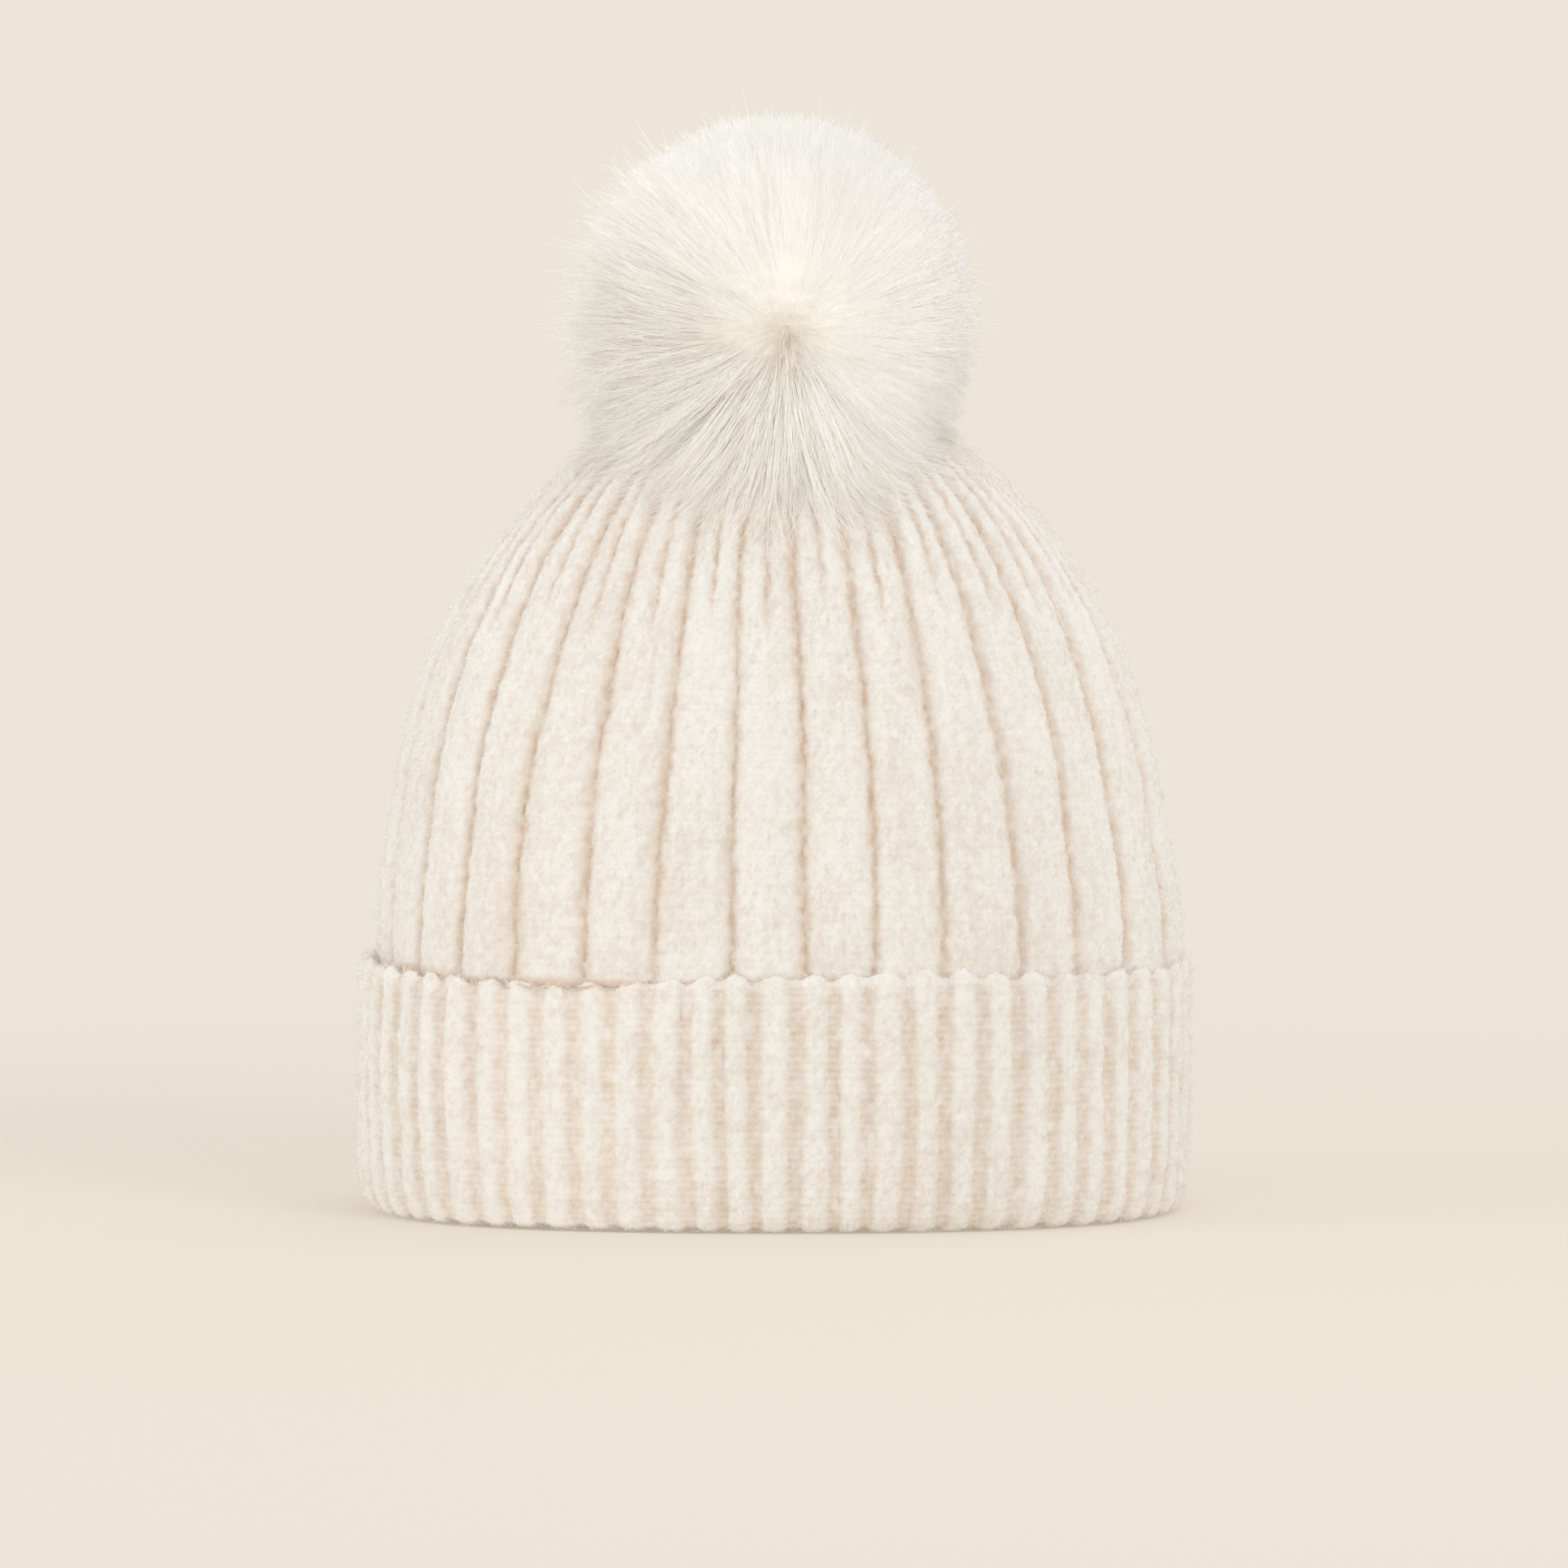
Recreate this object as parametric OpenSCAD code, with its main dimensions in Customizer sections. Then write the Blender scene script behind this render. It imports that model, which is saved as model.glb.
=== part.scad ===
// Knitted beanie with a turned-up ribbed band and a furry pom-pom held by a press stud.
// Millimetres. +Z points from the band up to the pom-pom, X is the long way of the head opening.
// The origin is the centre of the head opening, in the plane of the band's lower fold.

/* [Band] */
// outside width of the turned-up band, along X
band_w = 220; // [208:1:232]
// outside depth of the turned-up band, along Y
band_d = 166; // [156:1:176]
// height of the turned-up band
band_h = 66; // [58:1:74]
// knitted ribs around the band
band_ribs = 64; // [56:2:68]

/* [Crown] */
// rise of the crown's outline above the band
crown_rise = 151; // [144:1:158]
// knitted ribs around the crown
crown_ribs = 32; // [28:1:34]
// depth of the dip under the pom-pom, where the crown is gathered
gather_dip = 10; // [9:0.5:11]

/* [Fabric] */
// thickness of one layer of knitting
fabric = 4; // [3.8:0.1:4.2]
// depth of the valleys between ribs
rib_relief = 1.3; // [0:0.1:1.4]

/* [Pom-pom] */
// diameter of the fur ball, without the loose tips
fur_d = 104; // [96:1:108]
// height of the fur ball's centre above the top of the crown's outline
fur_lift = 19; // [18.6:0.1:19.4]
// diameter of the stuffed core under the fur
core_d = 43; // [42:0.5:44]

/* [Press stud] */
// diameter of the socket half, on the crown
socket_d = 16; // [15.6:0.1:16.4]
// diameter of the stud half, on the pom-pom
stud_d = 11.2; // [10.8:0.1:11.4]
// diameter of the stud's knob
knob_d = 4.6; // [4.4:0.1:4.8]
// clearance around the knob, on the diameter
knob_play = 0.12; // [0.1:0.02:0.18]

/* [Care label] */
// width of the blank label
label_w = 28; // [24:1:32]
// height of the blank label
label_h = 40; // [30:1:44]

/* [Hidden] */

// Space left between pieces that touch in real life.
gap = 0.5;
thin_gap = 0.12;

// Band: the fold at its foot lies between these heights.
fold_flat = 2.2;
fold_top = fabric + 0.4;
layer_step = fabric + 0.7;
body_inset = layer_step + gap;
body_ease = 0.3;
half_w = band_w / 2;
half_d = band_d / 2;

// Crown: squareness of its plan at the band and of its side outline.
plan_square = 2.4;
side_square = 2.12;
crown_half_w = half_w - body_inset - body_ease;
crown_half_d = half_d - body_inset - body_ease;
foot_lift = 0.6;
crown_foot = fold_top + foot_lift;
hidden_below = band_h - 6;
outline_top = band_h + crown_rise;
gather_hole_r = 6;
dip_spread = 30;
crown_last_angle = 87.2;

// The button inside the crown on which the pom-pom tips, and the knot below it.
dip_top = outline_top - gather_dip;
pivot_depth = 7.2;
pivot_z = dip_top - pivot_depth;
button_r = 4;
button_t = 1.2;
button_hole_r = 1.6;
knot_r = 2.2;
knot_gap = 0.15;
knot_z = pivot_z - button_t / 2 - knot_r - knot_gap;

// The felt disc and the shank that passes through it.
felt_lift = 1.8;
felt_z = pivot_z + felt_lift;
felt_t = 1;
felt_r = 11;
shank_r = 0.9;
shank_hole_r = 2.4;

// The press stud's socket, with the groove for its spring, and its stud.
face_gap = 0.3;
socket_lift = 4;
socket_z = dip_top + socket_lift;
socket_t = 2;
flange_t = 1;
groove_z = 0.75;
groove_h = 0.7;
groove_depth = 0.75;
stud_z = socket_z + socket_t + face_gap;
stud_t = 1.2;
knob_depth = 1.6;
knob_t = 0.6;
waist_step = 0.25;

// The pom-pom's core: a ball of stuffing in a backing whose mouth is drawn in over the base disc.
fur_z = outline_top + fur_lift;
lip_drop = 19.8;
lip_z = fur_z - lip_drop;
lip_t = 1;
lip_hole_r = 5.5;
base_z = lip_z + lip_t + face_gap;
base_t = 1.2;
base_r = 12;
backing_t = 1.1;
cup_wall = 1;
cup_r = base_r + gap + cup_wall;
cup_join = 12;
parting_h = 1.6;
underside_z = lip_z + parting_h;

// Stitches of the press stud.
stitches = 4;
stitch_r = 0.35;
stitch_hole_r = 0.5;
stitch_end_r = 0.7;
stitch_end_t = 0.3;
socket_stitch_at = 6.8;
stud_stitch_at = 4.3;

// Holes are cut this much past the faces they open in.
past = 1;

// Radius of the plan outline in direction t, for half sizes a and b and squareness n.
function plan_r(t, a, b, n) =
    pow(pow(abs(cos(t)) / a, n) + pow(abs(sin(t)) / b, n), -1 / n);
function plan_at(t, a, b, n) = plan_r(t, a, b, n) * [cos(t), sin(t)];

// Distance walked around the outline, paired with the direction reached.
plan_steps = 180;
plan_turn = 360 / plan_steps;
function step_far(i, a, b, n) =
    norm(plan_at((i + 1) * plan_turn, a, b, n) - plan_at(i * plan_turn, a, b, n));
function walk(a, b, n) =
    [for (i = 0, far = 0; i <= plan_steps; far = far + step_far(i, a, b, n), i = i + 1)
        [far, i * plan_turn]];

// One level of a knitted piece: equally spaced points around the outline, every second one a valley.
function level(a, b, n, z, count, valley) =
    let (table = walk(a, b, n), whole = table[plan_steps][0])
    [for (j = [0 : count - 1])
        let (
            t = lookup(whole * j / count, table),
            r = plan_r(t, a, b, n) - (j % 2) * valley
        )
        [r * cos(t), r * sin(t), z]];

// A closed ring whose cross-section is a loop of levels.
module ring_of_levels(levels) {
    rows = len(levels);
    cols = len(levels[0]);
    spots = [for (row = levels) each row];
    sides = [
        for (i = [0 : rows - 1])
            for (j = [0 : cols - 1])
                let (
                    here = i * cols + j,
                    beside = i * cols + (j + 1) % cols,
                    above = ((i + 1) % rows) * cols + j,
                    across = ((i + 1) % rows) * cols + (j + 1) % cols
                )
                each [[here, across, beside], [here, above, across]]
    ];
    polyhedron(points = spots, faces = sides);
}

// Squareness and depth of the plan ease to a circle at the gather.
function crown_n(f) = 2 + (plan_square - 2) * f;
function crown_ratio(f) =
    let (low = crown_half_d / crown_half_w)
    low + (1 - low) * pow(1 - f, 2);

// Point on the crown's side outline: half width and height, at angle p above the band.
function side_at(p) =
    let (
        w = crown_half_w * pow(cos(p), 2 / side_square),
        h = band_h + crown_rise * pow(sin(p), 2 / side_square)
    )
    [w, h - gather_dip * exp(-pow(w / dip_spread, 2))];
// Direction square to the side outline, pointing out of the crown.
function side_normal(p) =
    let (d = side_at(min(p + 0.5, 89)) - side_at(max(p - 0.5, 0)))
    [d[1], -d[0]] / norm(d);

function crown_level(p, inset, count, valley) =
    let (
        at = side_at(p),
        out = side_normal(p),
        f = at[0] / crown_half_w,
        w = at[0] - inset * out[0],
        b = at[0] * crown_ratio(f) - inset * out[0]
    )
    level(w, b, crown_n(f), at[1] - inset * out[1], count, valley * min(1, 2.5 * f));

// The crown and the body layer under the band, one tube of knitting closed at the gather.
module crown_knit() {
    cols = 2 * crown_ribs;
    // Levels up the side outline, closer together where it turns in to the gather.
    angles = [0.5, 8, 16, 24, 32, 40, 48, 56, 64, 71, 77, 82, 85.2, crown_last_angle];
    steps = len(angles);
    inner_w = crown_half_w - fabric;
    inner_d = crown_half_d - fabric;
    color([0.93, 0.89, 0.82])
        ring_of_levels([
            level(crown_half_w, crown_half_d, plan_square, crown_foot, cols, 0),
            level(crown_half_w, crown_half_d, plan_square, hidden_below, cols, 0),
            for (p = angles) crown_level(p, 0, cols, rib_relief),
            for (i = [steps - 1 : -1 : 1]) crown_level(angles[i], fabric, cols, 0),
            level(inner_w, inner_d, plan_square, hidden_below, cols, 0),
            level(inner_w, inner_d, plan_square, crown_foot, cols, 0)
        ]);
}

// The turned-up band: [distance in from the band's face, height, share of the rib depth].
module cuff_knit() {
    cols = 2 * band_ribs;
    section = [
        [1.6, band_h, 0],
        [0.4, band_h - 1.8, 0],
        [0.5, band_h - 6, 1],
        [0, band_h / 2, 1],
        [0.4, 10, 1],
        [1.3, 4, 0.5],
        [2.6, 1.2, 0],
        [4.2, 0, 0],
        [4.2 + fold_flat, 0, 0],
        [body_inset + fabric - 1, 1.3, 0],
        [body_inset + fabric, 3, 0],
        [body_inset + fabric, fold_top, 0],
        [body_inset, fold_top, 0],
        [layer_step, fold_top + 2.5, 0],
        [layer_step, band_h / 2, 0],
        [layer_step, band_h - 2, 0],
        [layer_step - 1.3, band_h, 0]
    ];
    color([0.95, 0.91, 0.85])
        ring_of_levels([
            for (s = section)
                level(half_w - s[0], half_d - s[0], plan_square, s[1], cols, s[2] * rib_relief)
        ]);
}

// The yarn that links the band to the foot of the body layer, on the inside.
module cuff_linking_yarn() {
    yarn_r = 0.8;
    inset = body_inset + fabric + yarn_r + gap;
    color([0.88, 0.83, 0.75])
        ring_of_levels([
            for (q = [0 : 60 : 300])
                level(
                    half_w - inset + yarn_r * cos(q),
                    half_d - inset + yarn_r * cos(q),
                    plan_square,
                    crown_foot + 1.5 - yarn_r * sin(q),
                    64,
                    0
                )
        ]);
}

// The yarn drawn through the last loops of the crown.
module crown_gather_yarn() {
    yarn_r = 0.6;
    color([0.9, 0.86, 0.78])
        translate([0, 0, dip_top - fabric / 2])
            rotate_extrude($fn = 64)
                translate([gather_hole_r - yarn_r - gap, 0])
                    circle(r = yarn_r, $fn = 24);
}

// The disc that spreads the pull of the pom-pom over the inside of the crown.
module crown_felt_disc() {
    color([0.8, 0.76, 0.7])
        translate([0, 0, felt_z])
            difference() {
                cylinder(r = felt_r, h = felt_t, $fn = 64);
                translate([0, 0, -past])
                    cylinder(r = shank_hole_r, h = felt_t + 2 * past, $fn = 32);
            }
}

// Repeats its child once per stitch, at a distance from the axis.
module at_stitches(far) {
    for (i = [0 : stitches - 1])
        rotate([0, 0, 45 + i * 360 / stitches])
            translate([far, 0, 0])
                children();
}

// The button under the felt disc that keeps the shank from pulling through. The pom-pom tips on it.
module anchor_button() {
    color([0.88, 0.85, 0.78])
        translate([0, 0, pivot_z - button_t / 2])
            difference() {
                cylinder(r = button_r, h = button_t, $fn = 64);
                translate([0, 0, -past])
                    cylinder(r = button_hole_r, h = button_t + 2 * past, $fn = 32);
            }
}

// The thread shank: knotted under the button, its arms are sewn to the socket.
module shank_thread() {
    arm_t = 2 * stitch_r;
    arm_z = socket_z - thin_gap - arm_t;
    stitch_rise = 0.9;
    color([0.96, 0.94, 0.9])
        union() {
            translate([0, 0, knot_z])
                sphere(r = knot_r, $fn = 48);
            translate([0, 0, knot_z])
                cylinder(r = shank_r, h = arm_z + arm_t - knot_z, $fn = 24);
            for (i = [0 : stitches - 1])
                rotate([0, 0, 45 + i * 360 / stitches])
                    translate([0, -stitch_r, arm_z])
                        cube([socket_stitch_at + stitch_r, arm_t, arm_t]);
            at_stitches(socket_stitch_at)
                translate([0, 0, arm_z])
                    cylinder(r = stitch_r, h = socket_t + stitch_rise, $fn = 16);
        }
}

// The socket half of the press stud.
module snap_socket() {
    floor_t = 0.3;
    collar_r = stud_d / 2 - 0.4;
    color([0.72, 0.72, 0.74])
        translate([0, 0, socket_z])
            difference() {
                union() {
                    cylinder(r = socket_d / 2, h = flange_t, $fn = 64);
                    cylinder(r = collar_r, h = socket_t, $fn = 64);
                }
                translate([0, 0, floor_t])
                    cylinder(r = (knob_d + knob_play) / 2, h = socket_t, $fn = 48);
                translate([0, 0, groove_z])
                    cylinder(r = knob_d / 2 + groove_depth, h = groove_h, $fn = 48);
                at_stitches(socket_stitch_at)
                    translate([0, 0, -past])
                        cylinder(r = stitch_hole_r, h = flange_t + 2 * past, $fn = 16);
            }
}

// The wire ring in the socket that grips the knob.
module snap_spring() {
    wire_r = 0.22;
    color([0.6, 0.6, 0.62])
        translate([0, 0, socket_z + groove_z + groove_h / 2])
            rotate_extrude($fn = 48)
                translate([knob_d / 2 + wire_r + thin_gap, 0])
                    circle(r = wire_r, $fn = 16);
}

// The stud half of the press stud, with its knob pointing down.
module snap_stud() {
    waist_r = knob_d / 2 - waist_step;
    stitch_room_r = 0.9;
    stitch_room_h = 0.5;
    color([0.72, 0.72, 0.74])
        translate([0, 0, stud_z])
            difference() {
                union() {
                    cylinder(r = stud_d / 2, h = stud_t, $fn = 64);
                    translate([0, 0, -knob_depth])
                        cylinder(r = waist_r, h = knob_depth + stud_t / 2, $fn = 48);
                    translate([0, 0, -knob_depth])
                        cylinder(r = knob_d / 2, h = knob_t, $fn = 48);
                }
                at_stitches(stud_stitch_at) {
                    translate([0, 0, -past])
                        cylinder(r = stitch_hole_r, h = stud_t + 2 * past, $fn = 16);
                    translate([0, 0, -past])
                        cylinder(r = stitch_room_r, h = stitch_room_h + past, $fn = 24);
                }
            }
}

// The stitches that hold the stud to the disc inside the pom-pom.
module stud_thread() {
    low_z = stud_z + 0.1;
    knot_t = 0.5;
    top_z = base_z + base_t + thin_gap + knot_t;
    color([0.96, 0.94, 0.9])
        at_stitches(stud_stitch_at) {
            translate([0, 0, low_z])
                cylinder(r = stitch_r, h = top_z - low_z, $fn = 16);
            translate([0, 0, low_z])
                cylinder(r = stitch_end_r, h = stitch_end_t, $fn = 24);
            translate([0, 0, top_z - knot_t])
                cylinder(r = stitch_end_r, h = knot_t, $fn = 24);
        }
}

// The stiff disc inside the mouth of the pom-pom's backing.
module pompom_base_disc() {
    color([0.85, 0.83, 0.78])
        translate([0, 0, base_z])
            difference() {
                cylinder(r = base_r, h = base_t, $fn = 64);
                at_stitches(stud_stitch_at)
                    translate([0, 0, -past])
                        cylinder(r = stitch_hole_r, h = base_t + 2 * past, $fn = 16);
            }
}

// The string that draws the mouth of the backing closed.
module pompom_drawstring() {
    string_r = 0.5;
    from_mouth = 2;
    color([0.9, 0.87, 0.82])
        translate([0, 0, lip_z - string_r - thin_gap])
            rotate_extrude($fn = 64)
                translate([lip_hole_r + from_mouth, 0])
                    circle(r = string_r, $fn = 24);
}

// The core's outline: a ball that ends in a flat-bottomed cup.
module core_shape(ball_r, foot_r, foot_z) {
    union() {
        translate([0, 0, fur_z])
            sphere(r = ball_r, $fn = 96);
        translate([0, 0, foot_z])
            cylinder(r = foot_r, h = fur_z - foot_z - cup_join, $fn = 64);
    }
}

// The woven backing of the fur, a bag closed round the base disc.
module pompom_backing() {
    color([0.84, 0.79, 0.7])
        difference() {
            core_shape(core_d / 2, cup_r, lip_z);
            core_shape(core_d / 2 - backing_t, cup_r - cup_wall, lip_z + lip_t);
            translate([0, 0, lip_z - core_d])
                cylinder(r = core_d, h = core_d, $fn = 64);
            translate([0, 0, lip_z - past])
                cylinder(r = lip_hole_r, h = lip_t + 2 * past, $fn = 48);
        }
}

// The wadding that fills the backing.
module pompom_stuffing() {
    above_disc = 0.9;
    flat_z = base_z + base_t + above_disc;
    color([0.97, 0.97, 0.96])
        difference() {
            translate([0, 0, fur_z])
                sphere(r = core_d / 2 - backing_t - gap, $fn = 96);
            translate([0, 0, flat_z - core_d])
                cylinder(r = core_d, h = core_d, $fn = 64);
        }
}

// The pile of the fur, from the backing to the tips, parted below to clear the crown.
module pompom_fur() {
    color([0.96, 0.95, 0.93])
        difference() {
            translate([0, 0, fur_z])
                sphere(r = fur_d / 2, $fn = 128);
            core_shape(core_d / 2 + gap, cup_r + gap, lip_z - past);
            translate([0, 0, underside_z - fur_d])
                cylinder(r = fur_d, h = fur_d, $fn = 64);
        }
}

// The blank care label, hanging from its upper edge on the inside at the back.
label_t = 0.5;
label_clear = 1.6;
label_top = 56;
label_y = crown_half_d - fabric - label_clear;
module care_label() {
    color([0.97, 0.97, 0.97])
        translate([-label_w / 2, label_y, label_top - label_h])
            cube([label_w, label_t, label_h]);
}

// The stitches along the label's upper edge.
module label_thread() {
    count = 5;
    margin = 2;
    below_edge = 3;
    thread_r = 0.3;
    stitch_share = 0.7;
    pitch = (label_w - 2 * margin) / count;
    start = -label_w / 2 + margin + pitch * (1 - stitch_share) / 2;
    color([0.9, 0.88, 0.84])
        for (i = [0 : count - 1])
            translate([start + i * pitch, label_y - thread_r - thin_gap, label_top - below_edge])
                rotate([0, 90, 0])
                    cylinder(r = thread_r, h = pitch * stitch_share, $fn = 16);
}

crown_knit();
cuff_knit();
cuff_linking_yarn();
crown_gather_yarn();
crown_felt_disc();
anchor_button();
shank_thread();
snap_socket();
snap_spring();
snap_stud();
stud_thread();
pompom_base_disc();
pompom_drawstring();
pompom_backing();
pompom_stuffing();
pompom_fur();
care_label();
label_thread();
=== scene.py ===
import math

import bpy
import numpy as np
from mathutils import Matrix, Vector
from mathutils.kdtree import KDTree


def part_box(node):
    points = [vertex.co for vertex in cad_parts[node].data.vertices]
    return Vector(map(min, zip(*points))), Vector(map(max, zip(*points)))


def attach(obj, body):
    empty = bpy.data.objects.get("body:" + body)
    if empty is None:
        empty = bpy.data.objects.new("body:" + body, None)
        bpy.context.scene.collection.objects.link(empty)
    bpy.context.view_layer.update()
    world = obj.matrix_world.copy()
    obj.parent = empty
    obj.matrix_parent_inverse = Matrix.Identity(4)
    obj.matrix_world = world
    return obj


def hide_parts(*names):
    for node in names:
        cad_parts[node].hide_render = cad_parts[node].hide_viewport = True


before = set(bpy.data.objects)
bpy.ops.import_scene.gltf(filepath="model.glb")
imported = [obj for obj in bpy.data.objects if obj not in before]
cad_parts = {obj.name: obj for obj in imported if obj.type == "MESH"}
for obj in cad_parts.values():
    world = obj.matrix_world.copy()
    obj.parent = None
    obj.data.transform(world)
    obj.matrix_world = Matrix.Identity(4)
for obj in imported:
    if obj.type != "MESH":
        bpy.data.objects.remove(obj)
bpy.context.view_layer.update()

# Shapes are in millimetres until a mesh is made; finishes, lights and the camera are in metres.
MM = 0.001
RNG = np.random.default_rng(20)


def box_mm(node):
    """The low and high corner of a node's box, in millimetres."""
    low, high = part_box(node)
    return np.array(low) / MM, np.array(high) / MM


# ---------------------------------------------------------------- sizes from the frame
CUFF_HIGH = box_mm("cuff_knit")[1]
CROWN_LOW, CROWN_HIGH = box_mm("crown_knit")
FUR_LOW, FUR_HIGH = box_mm("pompom_fur")
CORE_LOW, CORE_HIGH = box_mm("pompom_backing")

BAND_W, BAND_D, BAND_H = CUFF_HIGH
CROWN_W, CROWN_D = CROWN_HIGH[:2]
CROWN_FOOT = CROWN_LOW[2]
FABRIC = 4.0  # thickness of one knitted layer
PLAN_SQUARE = 2.4  # 2 is an ellipse; more is a squarer outline from above
SIDE_SQUARE = 2.12  # the same for the crown's outline from the side
CROWN_RISE = 151.0  # from the band's upper edge to the top of the outline
GATHER_DIP = 10.0  # depth of the hollow where the crown is drawn together
DIP_SPREAD = 30.0
LAST_ANGLE = 87.2  # the outline ends here, at the gathering thread

FUR_R = (FUR_HIGH[0] - FUR_LOW[0]) / 2
FUR_CENTRE = np.array([0.0, 0.0, FUR_HIGH[2] - FUR_R])
CORE_R = (CORE_HIGH[0] - CORE_LOW[0]) / 2

CROWN_RIBS = 32
BAND_RIBS = 64
COLUMNS = 960  # points round the hat
ROW = 0.62  # distance between rows of points
STITCH = 1.9  # height of one stitch
GRAIN = 1.5  # size of the grain in the valleys' tint
FRONT = 0.75  # the share of the way round at which a ring faces -Y


# ---------------------------------------------------------------- mesh helpers
def smoothstep(x, low, high):
    t = np.clip((x - low) / (high - low), 0, 1)
    return t * t * (3 - 2 * t)


def unit(v):
    """Vectors scaled to length one."""
    return v / np.maximum(np.linalg.norm(v, axis=-1, keepdims=True), 1e-9)


def soft_noise(rows, cols, row_scale, col_scale):
    """Smooth noise of unit spread on a grid that wraps round, with blobs of the given size in cells."""
    spots = RNG.standard_normal((rows, cols))
    fr = np.fft.fftfreq(rows)[:, None] * row_scale
    fc = np.fft.rfftfreq(cols)[None, :] * col_scale
    field = np.fft.irfft2(np.fft.rfft2(spots) * np.exp(-2 * (math.pi**2) * (fr**2 + fc**2) / 4), s=(rows, cols))
    return (field - field.mean()) / field.std()


def new_object(name, points, faces_of, smooth=True, attributes=None, slots=()):
    """A mesh object from points in millimetres and a list of (array of faces, material index)."""
    mesh = bpy.data.meshes.new(name)
    mesh.vertices.add(len(points))
    mesh.vertices.foreach_set("co", (points * MM).astype(np.float32).ravel())
    counts = [f.shape for f, m in faces_of]
    loops = np.concatenate([f.ravel() for f, m in faces_of]).astype(np.int32)
    sizes = np.concatenate([np.full(n, k) for n, k in counts]).astype(np.int32)
    starts = np.concatenate([[0], np.cumsum(sizes)[:-1]]).astype(np.int32)
    mesh.loops.add(len(loops))
    mesh.loops.foreach_set("vertex_index", loops)
    mesh.polygons.add(len(sizes))
    mesh.polygons.foreach_set("loop_start", starts)
    mesh.polygons.foreach_set("use_smooth", np.full(len(sizes), smooth))
    index = np.concatenate([np.full(f.shape[0], m) for f, m in faces_of]).astype(np.int32)
    mesh.polygons.foreach_set("material_index", index)
    for key, values in (attributes or {}).items():
        a = mesh.attributes.new(key, "FLOAT", "POINT")
        a.data.foreach_set("value", values.astype(np.float32).ravel())
    mesh.update(calc_edges=True)
    obj = bpy.data.objects.new(name, mesh)
    bpy.context.scene.collection.objects.link(obj)
    for material in slots:
        mesh.materials.append(material)
    return obj


def ring_faces(rows, cols):
    """Faces of a closed ring: rows wrap round the section and columns round the hat."""
    r = np.arange(rows)[:, None]
    c = np.arange(cols)[None, :]
    a = r * cols + c
    b = r * cols + (c + 1) % cols
    d = ((r + 1) % rows) * cols + c
    e = ((r + 1) % rows) * cols + (c + 1) % cols
    return np.stack([a, b, e, d], -1).reshape(-1, 4)


def grid_normals(p):
    """Outward normals of a grid of points, rows by columns, that wraps round the columns."""
    along = np.gradient(p, axis=0)
    across = np.roll(p, -1, 1) - np.roll(p, 1, 1)
    return unit(np.cross(across, along))


# ---------------------------------------------------------------- plan and side outlines
def plan_rows(a, b, n, count):
    """Points at equal distances round each row's squared ellipse, from +X."""
    t = np.linspace(0, 2 * math.pi, 721)
    c, s = np.abs(np.cos(t)), np.abs(np.sin(t))
    out = np.empty((len(a), count, 2))
    share = np.arange(count) / count
    for i in range(len(a)):
        r = ((c / a[i]) ** n[i] + (s / b[i]) ** n[i]) ** (-1 / n[i])
        x, y = r * np.cos(t), r * np.sin(t)
        far = np.concatenate([[0], np.cumsum(np.hypot(np.diff(x), np.diff(y)))])
        out[i, :, 0] = np.interp(share * far[-1], far, x)
        out[i, :, 1] = np.interp(share * far[-1], far, y)
    return out


def crown_profile():
    """The crown's side outline from its foot to the gather: half width, height and way along."""
    p = np.radians(np.linspace(0, LAST_ANGLE, 3000))
    w = CROWN_W * np.cos(p) ** (2 / SIDE_SQUARE)
    z = BAND_H + CROWN_RISE * np.sin(p) ** (2 / SIDE_SQUARE)
    z = z - GATHER_DIP * np.exp(-((w / DIP_SPREAD) ** 2))
    w = np.concatenate([[CROWN_W], w])
    z = np.concatenate([[CROWN_FOOT], z])
    far = np.concatenate([[0], np.cumsum(np.hypot(np.diff(w), np.diff(z)))])
    return w, z, far


def crown_ratio(w):
    """Depth over width of the crown where its half width is w."""
    low = CROWN_D / CROWN_W
    return low + (1 - low) * (1 - w / CROWN_W) ** 2


def crown_square(w):
    """Squareness of the crown seen from above where its half width is w."""
    return 2 + (PLAN_SQUARE - 2) * w / CROWN_W


def outside_crown(p, clear):
    """Moves points that lie in the crown out to its surface, by the shortest way in its side outline."""
    w, z, far = crown_profile()
    even = np.linspace(0, far[-1], 260)
    w, z = np.interp(even, far, w), np.interp(even, far, z)
    out = unit(np.stack([np.gradient(z), -np.gradient(w)], 1))
    summit = np.argmax(z)
    half = np.interp(p[:, 2], z[: summit + 1], w[: summit + 1])
    n, ratio = crown_square(half), crown_ratio(half)
    wide = (np.abs(p[:, 0]) ** n + (np.abs(p[:, 1]) / ratio) ** n) ** (1 / n)
    top = np.interp(wide, w[::-1], z[::-1])
    near = np.where((p[:, 2] < top + clear) & (wide < half + clear))[0]
    for some in np.array_split(near, max(1, len(near) // 20000)):
        here = np.stack([wide[some], p[some, 2]], 1)
        best = np.argmin(((here[:, None] - np.stack([w, z], 1)[None]) ** 2).sum(-1), 1)
        goal = np.stack([w, z], 1)[best] + out[best] * clear[some][:, None]
        inside = ((goal - here) * out[best]).sum(-1) > 0
        moved = some[inside]
        grow = goal[inside, 0] / np.maximum(here[inside, 0], 1e-3)
        p[moved, :2] *= grow[:, None]
        p[moved, 2] = goal[inside, 1]
    return p


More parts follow.
